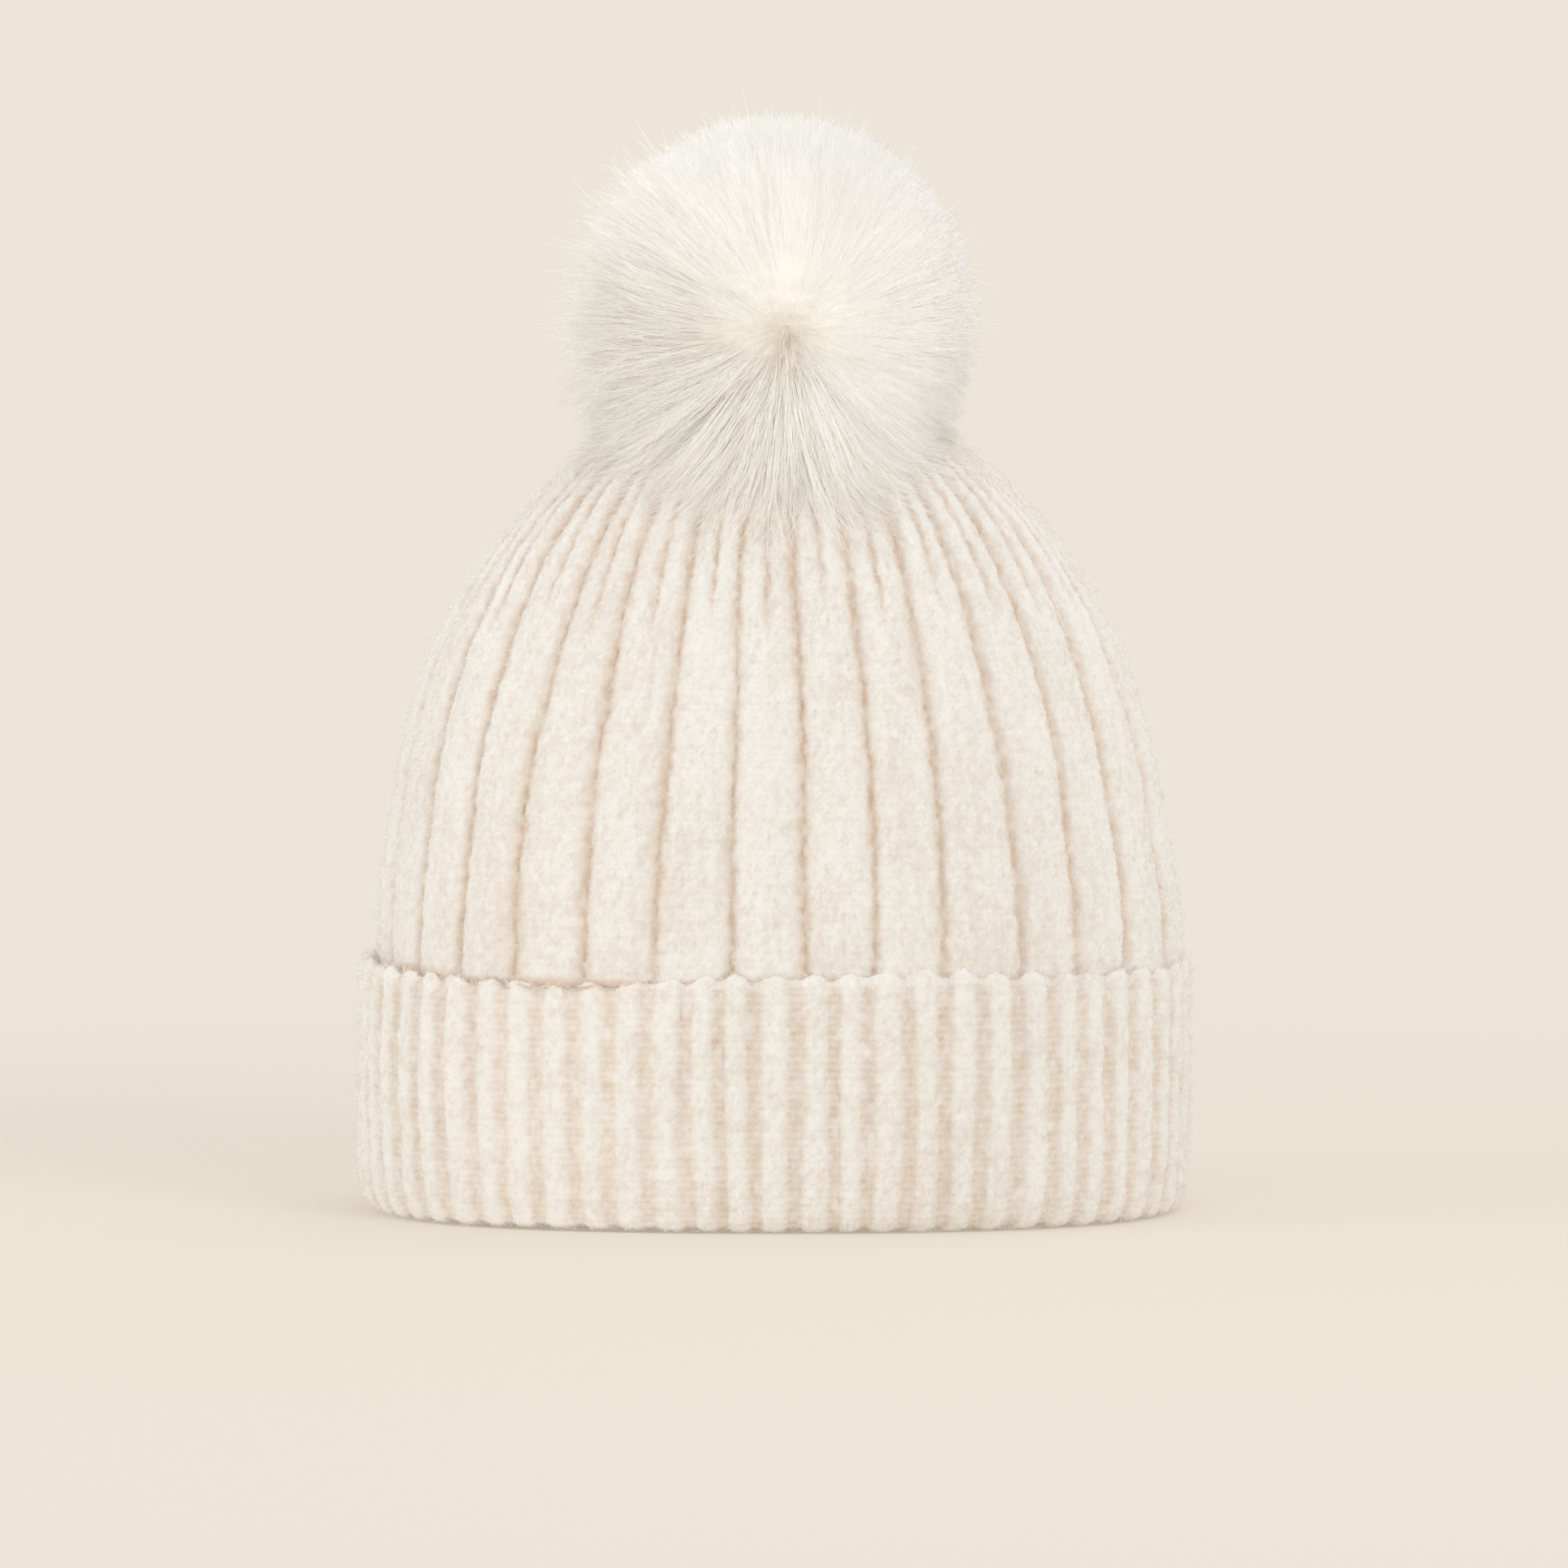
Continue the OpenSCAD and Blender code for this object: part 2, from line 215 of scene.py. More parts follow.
def crown_rows(spots, inset):
    """The crown's rows at these ways along the side outline, moved in by inset."""
    w, z, far = crown_profile()
    rw, rz = np.interp(spots, far, w), np.interp(spots, far, z)
    step = 0.5
    dw = np.interp(spots + step, far, w) - np.interp(spots - step, far, w)
    dz = np.interp(spots + step, far, z) - np.interp(spots - step, far, z)
    size = np.hypot(dw, dz)
    out_w, out_z = dz / size, -dw / size
    a = rw - inset * out_w
    b = rw * crown_ratio(rw) - inset * out_w
    flat = plan_rows(a, b, crown_square(rw), COLUMNS)
    height = np.broadcast_to((rz - inset * out_z)[:, None, None], flat.shape[:2] + (1,))
    return np.concatenate([flat, height], -1)


# ---------------------------------------------------------------- materials
MIX_FACTOR, MIX_A, MIX_B = 0, 6, 7  # sockets of a colour mix node


def principled(name, colour, roughness=0.9, **inputs):
    """A plain finish."""
    m = bpy.data.materials.new(name)
    m.use_nodes = True
    p = m.node_tree.nodes["Principled BSDF"]
    p.inputs["Base Color"].default_value = (*colour, 1)
    p.inputs["Roughness"].default_value = roughness
    for key, value in inputs.items():
        p.inputs[key.replace("_", " ")].default_value = value
    return m


def node(m, kind, **values):
    """A new shader node with these properties."""
    n = m.node_tree.nodes.new(kind)
    for key, value in values.items():
        setattr(n, key, value)
    return n


def wool(name, cream, beige, valley):
    """Fulled wool: cream and beige in small blots, darker and pinker where the tone is high: the valley
    stitches' own colour with painted shade in the grooves, creases and crevices.
    """
    m = principled(name, cream, 0.95, Sheen_Weight=0.25, Sheen_Roughness=0.6)
    links = m.node_tree.links
    p = m.node_tree.nodes["Principled BSDF"]
    where = node(m, "ShaderNodeTexCoord")
    long = node(m, "ShaderNodeMapping")
    long.inputs["Scale"].default_value = (1.0, 1.0, 0.5)
    links.new(where.outputs["Object"], long.inputs["Vector"])
    tone = node(m, "ShaderNodeAttribute", attribute_name="tone")
    blot = node(m, "ShaderNodeAttribute", attribute_name="blot")
    fine = node(m, "ShaderNodeTexNoise")
    fine.inputs["Scale"].default_value = 950
    fine.inputs["Detail"].default_value = 5
    fine.inputs["Roughness"].default_value = 0.68
    links.new(long.outputs[0], fine.inputs["Vector"])
    add = node(m, "ShaderNodeMath", operation="MULTIPLY_ADD")
    add.inputs[1].default_value = 2.7
    links.new(fine.outputs["Fac"], add.inputs[0])
    links.new(blot.outputs["Fac"], add.inputs[2])
    lift = node(m, "ShaderNodeMapRange")
    lift.inputs["From Min"].default_value = 1.0
    lift.inputs["From Max"].default_value = 2.2
    links.new(add.outputs[0], lift.inputs["Value"])
    first = node(m, "ShaderNodeMix", data_type="RGBA")
    first.inputs[MIX_A].default_value = (*cream, 1)
    first.inputs[MIX_B].default_value = (*beige, 1)
    links.new(lift.outputs[0], first.inputs[MIX_FACTOR])
    second = node(m, "ShaderNodeMix", data_type="RGBA")
    second.inputs[MIX_B].default_value = (*valley, 1)
    links.new(first.outputs[2], second.inputs[MIX_A])
    links.new(tone.outputs["Fac"], second.inputs[MIX_FACTOR])
    links.new(second.outputs[2], p.inputs["Base Color"])
    bump = node(m, "ShaderNodeBump")
    bump.inputs["Strength"].default_value = 0.6
    bump.inputs["Distance"].default_value = 0.0005
    links.new(fine.outputs["Fac"], bump.inputs["Height"])
    links.new(bump.outputs[0], p.inputs["Normal"])
    return m


# The third colour is the valleys' tint, partly painted shade.
WOOL = wool("wool", (0.913, 0.9, 0.868), (0.832, 0.775, 0.712), (0.73, 0.583, 0.465))


def glowing(name, colour, roughness, glow, strength):
    """A plain finish with a faint glow: painted light that stands in for light passing through a fibre and
    brightens the shade between fibres.
    """
    return principled(name, colour, roughness, Emission_Color=(*glow, 1), Emission_Strength=strength)


# The glow of the fuzz, fur and undercoat finishes is painted light that lifts their shade.
FUZZ = [
    glowing("fuzz_cream", (0.955, 0.94, 0.905), 1.0, (1.0, 0.965, 0.91), 0.12),
    glowing("fuzz_beige", (0.87, 0.80, 0.725), 1.0, (1.0, 0.91, 0.82), 0.08),
]
FURS = [
    glowing("fur_white", (0.99, 0.985, 0.968), 0.8, (1.0, 0.985, 0.955), 0.095),
    glowing("fur_cream", (0.97, 0.945, 0.90), 0.85, (1.0, 0.965, 0.90), 0.04),
    glowing("fur_tan", (0.94, 0.86, 0.765), 0.9, (1.0, 0.9, 0.8), 0.04),
]
UNDER = glowing("fur_under", (0.96, 0.925, 0.87), 1.0, (1.0, 0.95, 0.88), 0.07)


# ---------------------------------------------------------------- knitted relief
def rib_height(u, pitch, groove):
    """Height from 0 in the groove to 1 on a broad rib; u runs 0 to 1 across the rib."""
    near = np.minimum(u, 1 - u) * pitch
    return 1 - np.exp(-((near / groove) ** 1.7))


def stitches(wale, course):
    """Small chevrons: wale and course count stitches across and along."""
    leg = np.abs(2 * (wale % 1) - 1)
    loops = 0.6 * np.cos(2 * math.pi * (course + 0.45 * leg))
    middle = 0.7 * np.exp(-((leg / 0.28) ** 2))
    between = 0.5 * np.exp(-(((1 - leg) / 0.2) ** 2))
    return loops - middle - between


# Lumps of fulled wool: height along the rib, width across it and depth.
LUMPS = ((1.5, 0.8, 0.15), (3.6, 1.6, 0.11), (9.0, 5.0, 0.14), (30.0, 30.0, 0.45), (80.0, 70.0, 0.8))


def knit_noise(rows, long, wide, col_mm):
    """Noise on a knitted surface, with blobs of this height and width in millimetres."""
    return soft_noise(rows, COLUMNS, long / ROW, wide / col_mm)


def woolly(rows, col_mm):
    """Lumps of fulled wool at several sizes, in millimetres."""
    height = 0.0
    for long, wide, depth in LUMPS:
        height = height + depth * knit_noise(rows, long, wide, col_mm)
    return height


def grainy(tone, rows, col_mm, level, depth):
    """The valleys' tint, partly painted shade, broken up by grain."""
    return np.clip(tone * (level + depth * knit_noise(rows, GRAIN, 1.0, col_mm)), 0, 1)


# The crown's ribs, in millimetres.
SWELL = 1.15  # height of a rib over its grooves
PILLOW = 1.1  # roundness of a rib across its width
CREASE = 1.15  # depth of the crease that splits each rib near the top
CREASE_START = 143  # height at which the first creases start
CREASE_SCATTER = 11
CREASE_FADE = 14
SNUG = 1.6  # how far the foot is pushed out against the band's edge
RELIEF_RADIUS = (8, 24)  # the relief fades out between these distances from the axis
FUZZ_RADIUS = 32  # no fuzz nearer the axis than this, under the pom-pom


def crown_relief(spots, pitch, height, col_mm):
    """The crown's relief and its tints: height over the base, valley tint with painted shade, and blots."""
    rows = len(spots)
    share = (np.arange(COLUMNS) / COLUMNS)[None, :]
    sway = knit_noise(rows, 52, 14, col_mm)
    ripple = knit_noise(rows, 1.8, 1.5, col_mm)
    q = (share - FRONT) * CROWN_RIBS + 0.5 + 0.16 + 0.05 * sway + 0.013 * ripple
    u = q % 1
    rib = np.floor(q).astype(int) % CROWN_RIBS
    full = smoothstep(height, BAND_H - 8, BAND_H - 1) * np.minimum(1, pitch / 5)
    body = rib_height(u, pitch, np.minimum(1.35, pitch * 0.22))
    scatter = CREASE_SCATTER * RNG.random(CROWN_RIBS)
    turn = 2 * math.pi * np.arange(CROWN_RIBS) / CROWN_RIBS
    start = (CREASE_START + scatter + 6 * np.cos(turn) ** 2)[rib]
    crease_on = smoothstep(height, start, start + CREASE_FADE)
    near_mid = np.abs(u - 0.5) * pitch
    crease = crease_on * np.exp(-((near_mid / np.minimum(1.3, pitch * 0.16)) ** 1.7))
    pillow = 1 - (2 * u - 1) ** 2
    lump = woolly(rows, col_mm)
    chevron = stitches(u * 7, spots[:, None] / STITCH)
    fading = np.minimum(1, pitch / 12)
    snug = smoothstep(height, BAND_H - 5, BAND_H - 1) * (1 - smoothstep(height, BAND_H + 8, BAND_H + 40))
    move = full * (SWELL * (body - 1) + PILLOW * pillow - CREASE * crease + fading * (lump + 0.24 * chevron))
    move = move + SNUG * snug

    # Painted shade: the tint darkens the grooves, partly the valley stitches' own colour.
    near_edge = np.minimum(u, 1 - u) * pitch
    line = 0.55 * np.exp(-((near_edge / 1.9) ** 2)) + 0.45 * np.exp(-((near_edge / 0.85) ** 2))
    # Painted shade along the creases near the top.
    tone = full * np.clip(line + 0.85 * crease_on * np.exp(-((near_mid / 1.0) ** 2)), 0, 1)
    blot = 0.24 * knit_noise(rows, 1.2, 1.0, col_mm) + 0.2 * knit_noise(rows, 26, 10, col_mm)
    blot = blot + 0.14 * knit_noise(rows, 9, 1.3, col_mm) - 0.16 * chevron * fading
    tone = grainy(tone, rows, col_mm, 0.8, 0.2)
    # Painted shade in the crevice where the crown's foot meets the band.
    foot = 1 - smoothstep(height + 0.5 * sway, BAND_H - 1.8, BAND_H + 0.8)
    return move, np.maximum(tone, 0.8 * foot), blot


def crown_piece():
    """The crown and body layer as one thick shell; returns its surface for the fuzz."""
    w, z, far = crown_profile()
    whole = far[-1]
    hidden = np.arange(0, BAND_H - 8, 5.0)
    first = BAND_H - CROWN_FOOT - 5
    shown = np.linspace(first, whole, int((whole - first) / ROW))
    spots = np.concatenate([hidden, shown])
    base = crown_rows(spots, 0)
    rows = len(spots)
    normal = grid_normals(base)
    around = np.linalg.norm(np.roll(base, -1, 1) - base, axis=-1).sum(1)
    pitch = (around / CROWN_RIBS)[:, None]
    height = np.interp(spots, far, z)[:, None]
    move, tone, blot = crown_relief(spots, pitch, height, around.max() / COLUMNS)
    wide = np.interp(spots, far, w)
    clear = smoothstep(wide, *RELIEF_RADIUS)[:, None]
    points = base + normal * (move * clear - 0.4 * (1 - clear))[..., None]

    inner_spots = np.linspace(whole, 0, int(whole / 3.0))
    inner = crown_rows(inner_spots, FABRIC)
    inside = len(inner_spots)
    stack = np.concatenate([points, inner])
    tones = np.concatenate([tone, np.full((inside, COLUMNS), 0.25)])
    blots = np.concatenate([blot, 0.3 * soft_noise(inside, COLUMNS, 1.0, 4.0)])
    obj = new_object(
        "crown_wool",
        stack.reshape(-1, 3),
        [(ring_faces(rows + inside, COLUMNS), 0)],
        attributes={"tone": tones, "blot": blots},
        slots=[WOOL],
    )
    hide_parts("crown_knit")
    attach(obj, "hat")
    lowest = len(hidden) + 4
    last = int(np.argmax((wide < FUZZ_RADIUS) & (spots > whole / 2)))
    return points[lowest:last], normal[lowest:last], tone[lowest:last]


def cuff_section():
    """The band's section as (distance in from its face, height), fine on the face and coarse inside."""
    layer = FABRIC + 0.7
    body = layer + 0.5
    edge = [(4.0, BAND_H - 1.6), (3.3, BAND_H - 0.4), (2.2, BAND_H), (1.0, BAND_H - 0.7), (0.5, BAND_H - 2.4)]
    face = [(0.45, BAND_H - 6), (0.1, BAND_H * 0.7), (0, BAND_H / 2), (0.3, 14), (0.9, 7.5)]
    foot = [(1.9, 3.6), (3.2, 1.2), (4.6, 0.15), (6.4, 0.1), (8.0, 1.3), (8.7, 3.2), (8.6, 4.3)]
    back = [(body, 4.4), (layer, 7.5), (layer, BAND_H / 2), (layer, BAND_H - 6)]
    back = back + [(layer - 0.1, BAND_H - 3.4), (4.2, BAND_H - 2.2)]
    return np.array(edge + face + foot, float), np.array(back, float)


def smooth_path(corners, step):
    """Even points along a rounded path through the corners."""
    far = np.concatenate([[0], np.cumsum(np.linalg.norm(np.diff(corners, axis=0), axis=1))])
    count = 2000
    rounding = 1.6
    dense = np.linspace(0, far[-1], count)
    path = np.stack([np.interp(dense, far, corners[:, k]) for k in range(2)], 1)
    width = int(count * rounding / far[-1]) | 1
    kernel = np.hanning(width + 2)[1:-1]
    kernel /= kernel.sum()
    padded = np.pad(path, ((width // 2, width // 2), (0, 0)), mode="edge")
    path = np.stack([np.convolve(padded[:, k], kernel, "valid") for k in range(2)], 1)
    far = np.concatenate([[0], np.cumsum(np.linalg.norm(np.diff(path, axis=0), axis=1))])
    even = np.linspace(0, far[-1], max(2, int(far[-1] / step)))
    return np.stack([np.interp(even, far, path[:, k]) for k in range(2)], 1)


# The band's ribs, in millimetres.
BAND_RELIEF = 1.35
RELIEF_LIMIT = 1.5  # valleys deeper than this are eased off
RELIEF_EASE = 1.2
EDGE_WAVE = 0.3
FOLD_PAINTED_SHADE = 0.9  # painted shade: the valley tint in the fold and in the crevice behind the band's edge


def cuff_piece():
    """The turned-up band as one closed ring; returns its face for the fuzz."""
    face, back = cuff_section()
    shown = smooth_path(face, ROW)
    unseen = smooth_path(back, 3.0)
    rows = len(shown)
    path = np.concatenate([shown, unseen])
    flat = plan_rows(BAND_W - path[:, 0], BAND_D - path[:, 0], np.full(len(path), PLAN_SQUARE), COLUMNS)
    base = np.concatenate([flat, np.broadcast_to(path[:, None, 1:2], flat.shape[:2] + (1,))], -1)
    normal = -grid_normals(base[:rows])
    around = np.linalg.norm(np.roll(base[rows // 2], -1, 0) - base[rows // 2], axis=-1).sum()
    col_mm = around / COLUMNS
    share = (np.arange(COLUMNS) / COLUMNS)[None, :]
    u = ((share - FRONT) * BAND_RIBS + 0.5 + 0.06 * knit_noise(rows, 40, 10, col_mm)) % 1
    height, inset = shown[:, 1][:, None], shown[:, 0][:, None]
    upper = height > BAND_H / 2
    welt = smoothstep(height, BAND_H - 4.6, BAND_H - 1.8)
    under = smoothstep(inset, 4.6, 7.5)
    ragged = 0.018 * knit_noise(rows, 1.6, 1.2, col_mm)
    ridge = smoothstep(0.5 - np.abs(u - 0.5) + ragged, 0.08, 0.36)
    strength = (1 - 0.4 * welt) * (1 - 0.3 * under) * (1 - 0.4 * smoothstep(-height, -7, -1))
    foot = smoothstep(inset, 0.8, 4.0) * (height < BAND_H / 2)
    lump = woolly(rows, col_mm) * (1 - 0.85 * foot)
    spots = np.arange(rows)[:, None] * ROW
    chevron = stitches(u * 3.5, spots / STITCH)
    bumps = 0.35 * np.cos(2 * math.pi * (u - 0.5)) + 0.3 * soft_noise(rows, COLUMNS, 3.0, 2.5 / col_mm)
    move = strength * BAND_RELIEF * (ridge - 1) + 0.15 * welt + lump + 0.22 * chevron
    eased = -RELIEF_LIMIT + RELIEF_EASE * np.tanh((move + RELIEF_LIMIT) / RELIEF_EASE)
    move = np.where(move < -RELIEF_LIMIT, eased, move)
    points = base.copy()
    points[:rows] += normal * move[..., None]
    points[:rows, :, 2] += welt * bumps
    wave = soft_noise(len(path), COLUMNS, 400.0, 80 / col_mm) * smoothstep(path[:, 1], 20, BAND_H)[:, None]
    points[..., 2] = np.maximum(points[..., 2] + EDGE_WAVE * wave, 0)

    # Painted shade: the valleys darker, partly the valley stitches' own colour.
    bars = np.cos(2 * math.pi * spots / STITCH)
    tone = (1 - ridge) ** 1.2 * (1 - 0.7 * welt) * (0.5 + 0.14 * bars)
    tone = grainy(tone, rows, col_mm, 0.85, 0.25)
    # Painted shade in the fold and in the crevice behind the band's edge.
    tone = np.maximum(tone, FOLD_PAINTED_SHADE * smoothstep(inset, 2.2, 3.2) * upper)
    blot = 0.3 * knit_noise(rows, 1.2, 1.0, col_mm) + 0.16 * knit_noise(rows, 8, 8, col_mm)
    # Painted light: the raised ridges are made lighter.
    blot = blot - 0.25 * ridge - 0.16 * chevron
    inside = (len(unseen), COLUMNS)
    obj = new_object(
        "band_wool",
        points.reshape(-1, 3),
        [(ring_faces(len(path), COLUMNS)[:, ::-1], 0)],
        attributes={
            "tone": np.concatenate([tone, np.full(inside, FOLD_PAINTED_SHADE)]),
            "blot": np.concatenate([blot, np.zeros(inside)]),
        },
        slots=[WOOL],
    )
    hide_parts("cuff_knit")
    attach(obj, "hat")
    return points[:rows], normal, tone


# ---------------------------------------------------------------- fibres
def strands(name, paths, radius, slots, pick=None):
    """Three-sided tapered fibres. paths is fibres by points by 3; radius is one value a fibre."""
    count, steps = paths.shape[:2]
    lead = unit(paths[:, -1] - paths[:, 0])
    side = unit(np.cross(lead, np.where(np.abs(lead[:, 2:]) < 0.9, [[0, 0, 1.0]], [[1.0, 0, 0]])))
    up = np.cross(lead, side)
    turn = RNG.random(count) * 2 * math.pi
    taper = np.linspace(1, 0.35, steps - 1)
    rings = []
    for k in range(3):
        a = turn + k * 2 * math.pi / 3
        offset = np.cos(a)[:, None] * side + np.sin(a)[:, None] * up
        rings.append(paths[:, :-1] + offset[:, None] * (radius[:, None] * taper)[..., None])
    body = np.stack(rings, 2).reshape(count, (steps - 1) * 3, 3)
    points = np.concatenate([body, paths[:, -1:]], 1)
    size = points.shape[1]
    last = (steps - 2) * 3
    sides = [(k, (k + 1) % 3) for k in range(3)]
    quads = [[j + k, j + m, j + 3 + m, j + 3 + k] for j in range(0, last, 3) for k, m in sides]
    tris = [[2, 1, 0]] + [[last + k, last + m, size - 1] for k, m in sides]
    first = (np.arange(count) * size)[:, None, None]
    pick = np.zeros(count, int) if pick is None else pick
    faces = []
    for m in range(len(slots)):
        own = first[pick == m]
        faces.append(((own + np.array(quads)[None]).reshape(-1, 4), m))
        faces.append(((own + np.array(tris)[None]).reshape(-1, 3), m))
    return new_object(name, points.reshape(-1, 3), faces, slots=slots)


# Short fibres of the wool, lengths in millimetres.
STANDING = 0.28  # share of the fibres that stand up
STANDING_LIFT = 1.3
ROOT_DEPTH = 0.15
FLOOR_GAP = 0.1
FUZZ_RADII = (0.04, 0.08)


def fuzz(name, surface, count, reach, lift, parts):
    """Short curled fibres lying on a knitted surface."""
    points, normal, tone = surface
    rows, cols = tone.shape
    area = np.linalg.norm(np.roll(points, -1, 1) - points, axis=-1).mean(1)
    row = RNG.choice(rows, count, p=area / area.sum())
    col = RNG.integers(0, cols, count)
    p, n = points[row, col], normal[row, col]
    p = p + RNG.normal(0, 0.3, (count, 3))
    a = RNG.random(count) * 2 * math.pi
    t1 = unit(np.cross(n, [[0, 0, 1.0]]))
    t2 = np.cross(n, t1)
    flat = np.cos(a)[:, None] * t1 + np.sin(a)[:, None] * t2
    bend = RNG.normal(0, 0.9, count)[:, None] * np.cross(n, flat)
    length = (reach * RNG.lognormal(0, 0.4, count))[:, None]
    standing = RNG.random(count) < STANDING
    rise = (np.where(standing, STANDING_LIFT, lift) * RNG.random(count) ** 1.2)[:, None]
    mid = p + length * (0.5 * flat + 0.6 * rise * n)
    tip = p + length * (flat * 0.85 + 0.5 * bend + 0.8 * rise * n)
    start = p - ROOT_DEPTH * n
    paths = np.stack([start, mid, tip], 1)
    paths[..., 2] = np.maximum(paths[..., 2], FLOOR_GAP)
    # The fibres are beige more often where the tint is high, so they carry its painted shade too.
    beige = (RNG.random(count) < 0.15 + 0.8 * tone[row, col]).astype(int)
    for i, own in enumerate(np.array_split(RNG.permutation(count), parts)):
        obj = strands(f"{name}_{i + 1}", paths[own], RNG.uniform(*FUZZ_RADII, len(own)), FUZZ, beige[own])
        obj.visible_shadow = False
        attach(obj, "hat")


# ---------------------------------------------------------------- pom-pom
WHORL = unit(np.array([0.08, -0.98, -0.15]))  # the hairs are combed away from here
CROWDED_REACH = 62  # degrees round the whorl with extra hairs
CLUMPS = 3800
ROOTS_ABOVE = 8  # the hairs start this far over the backing, and within it near the mouth
HAIR_POINTS = 8
HAIR_RADII = (0.09, 0.16)
FUR_PARTS = 6
FUR_PARTS_IN_SHADOW = 3  # the other parts cast no shadow, since white hair lets light through


def away_from_whorl(d):
    """Unit tangent of the ball at d that points away from the whorl, and the angle from the whorl."""
    dot = np.clip((d * WHORL).sum(-1, keepdims=True), -1, 1)
    return -unit(WHORL - d * dot), np.arccos(dot[..., 0])


def turned(d, tangent, angle):
    """Directions turned by an angle towards a tangent."""
    return np.cos(angle)[:, None] * d + np.sin(angle)[:, None] * tangent


def fur_directions(count, crowded):
    """Directions spread evenly over the ball, and more round the whorl, where the hairs are combed away."""
    k = np.arange(count) + 0.5
    z = 1 - 2 * k / count
    a = k * math.pi * (3 - math.sqrt(5))
    r = np.sqrt(1 - z * z)
    even = np.stack([r * np.cos(a), r * np.sin(a), z], 1)
    side = unit(np.cross(WHORL, [0, 0, 1.0]))
    up = np.cross(side, WHORL)
    spin = RNG.random(crowded) * 2 * math.pi
    wide = np.radians(CROWDED_REACH) * RNG.random(crowded) ** 0.6
    ring = np.cos(spin)[:, None] * side + np.sin(spin)[:, None] * up
    extra = np.cos(wide)[:, None] * WHORL + np.sin(wide)[:, None] * ring
    chin = np.array([0.0, -0.8, -0.6])
    below = unit(chin + RNG.normal(0, 0.3, (crowded // 5, 3)))
    d = np.concatenate([even, extra, below])
    d = unit(d + RNG.normal(0, 0.02, d.shape))
    return d[d[:, 2] > -0.93]


def drape(p):
    """Lays fur that would pass through the crown over it instead."""
    count, steps = p.shape[:2]
    clear = np.repeat(RNG.uniform(1.0, 3.2, count), steps)
    p = outside_crown(p.reshape(-1, 3), clear).reshape(count, steps, 3)
    for _ in range(2):
        p[:, 1:-1] = 0.5 * p[:, 1:-1] + 0.25 * (p[:, :-2] + p[:, 2:])
    return outside_crown(p.reshape(-1, 3), np.full(count * steps, 0.5)).reshape(count, steps, 3)


def clumps_of(d):
    """Hairs chosen as the middles of clumps, and the clump that each hair belongs to."""
    centres = RNG.choice(len(d), CLUMPS, replace=False)
    tree = KDTree(len(centres))
    for i, c in enumerate(centres):
        tree.insert(Vector(d[c]), i)
    tree.balance()
    return centres, np.array([tree.find(Vector(t))[1] for t in d])


def combed(d, nearest):
    """Where each hair's tip points, and how far it lies to the front or the back."""
    count = len(d)
    tangent, angle = away_from_whorl(d)
    tousled = 0.25 + 0.75 * smoothstep(-d[:, 2] - 0.5 * d[:, 0], -0.2, 0.9)
    swing = tousled * RNG.normal(0, 0.38, CLUMPS)[nearest] + RNG.normal(0, 0.12, count)
    tangent = np.cos(swing)[:, None] * tangent + np.sin(swing)[:, None] * np.cross(d, tangent)
    opening = 1 - np.exp(-((angle / np.radians(10)) ** 2))
    sweep = opening * (np.radians(36) * np.exp(-((angle / np.radians(75)) ** 2)) + np.radians(5))
    tip_d = turned(d, tangent, sweep * RNG.normal(1, 0.13, count))
    behind = smoothstep(d[:, 1], -0.35, 0.5)
    tip_d[:, 2] -= (0.08 + 0.27 * behind) * (1 - tip_d[:, 2] ** 2)
    tip_d = unit(tip_d + RNG.normal(0, 0.035, d.shape))
    facing = smoothstep(np.abs(tip_d[:, 1]) / np.hypot(tip_d[:, 0], tip_d[:, 1]), 0.25, 0.85)
    lowest = -0.57 - 0.21 * facing + 0.22 * RNG.random(count) ** 2
    tip_d[:, 2] = np.maximum(tip_d[:, 2], lowest)
    return unit(tip_d), facing


def gathered(tip_d, facing, centres, nearest):
    """Tips pulled together in clumps, more so low and on the left, and how far out each one reaches."""
    count = len(tip_d)
    low = smoothstep(-tip_d[:, 2], 0.2, 0.75)
    left = smoothstep(-tip_d[:, 0] - 0.4 * tip_d[:, 2], -0.1, 0.9)
    clump = tip_d[centres][nearest]
    reach = RNG.normal(0, 1.0, CLUMPS)[nearest]
    pull = np.clip((0.12 + 0.48 * low + 0.3 * left) * RNG.uniform(0.4, 1.25, count), 0, 0.9)
    tip_d = unit(tip_d + pull[:, None] * (clump - tip_d))
    long = FUR_R + 0.6 + RNG.normal(0, 1.1, count) + (0.3 + 2.4 * low + 1.3 * left) * reach + 1.6 * low
    wild = RNG.random(count) < 0.05 + 0.25 * left
    long = long + wild * np.minimum(RNG.exponential(1.8 + 2.0 * left), 9)
    return tip_d, long * (1 + 0.42 * facing * smoothstep(-tip_d[:, 2], 0.22, 0.8))


def fur_paths(count, crowded):
    """The hairs' paths and the way that each tip points."""
    d = fur_directions(count, crowded)
    centres, nearest = clumps_of(d)
    tip_d, facing = combed(d, nearest)
    tip_d, long = gathered(tip_d, facing, centres, nearest)
    root_r = CORE_R + ROOTS_ABOVE - 10.5 * smoothstep(-d[:, 2], 0.1, 0.8)
    paths = np.empty((len(d), HAIR_POINTS, 3))
    curl = RNG.normal(0, 0.6, (len(d), 3))
    for j, t in enumerate(np.linspace(0, 1, HAIR_POINTS)):
        way = unit((1 - t**1.5) * d + t**1.5 * tip_d)
        r = root_r + (long - root_r) * (1 - (1 - t) ** 1.8)
        paths[:, j] = FUR_CENTRE + way * r[:, None] + curl * math.sin(math.pi * t)
    return drape(paths), tip_d


